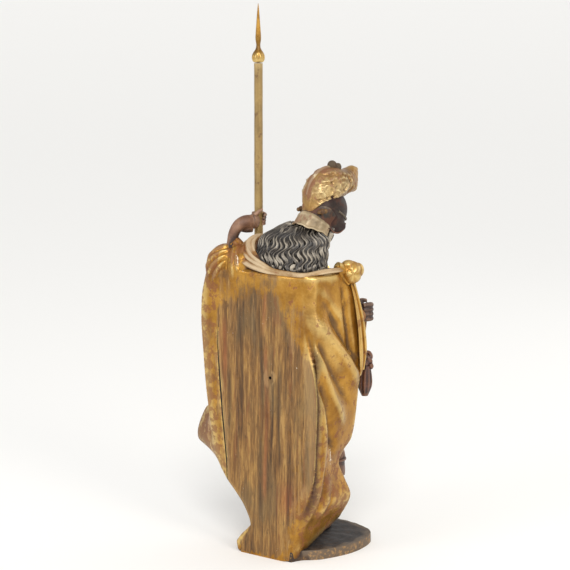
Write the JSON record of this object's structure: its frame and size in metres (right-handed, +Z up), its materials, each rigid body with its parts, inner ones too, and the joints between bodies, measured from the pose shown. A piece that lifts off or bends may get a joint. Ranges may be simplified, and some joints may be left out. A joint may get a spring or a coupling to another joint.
{
  "type": "carved saint statue",
  "caption": "Standing carved and gilded military saint in cloak and crested helmet on an oval base, head bowed, holding an upright lance; flat undecorated back.",
  "frame": {"origin": "on the flat underside of the base, at the middle of the base's width, below the figure", "axes": "+Z up along the lance, -Y the way the figure faces, +X to the figure's own left"},
  "size_m": [0.3863, 0.2721, 1.176],
  "materials": {
    "gilded_wood": "worn burnished gold leaf over red bole on carved wood, bare weathered back, dark hair, silvered helmet and painted flesh",
    "dull_gilt_shaft": "dull mottled gold leaf on a wooden rod",
    "bright_gilt_head": "burnished gold leaf on turned wood"
  },
  "bodies": {
    "root": {"figure": "gilded_wood", "lance_shaft": "dull_gilt_shaft", "lance_head": "bright_gilt_head"}
  },
  "joints": []
}
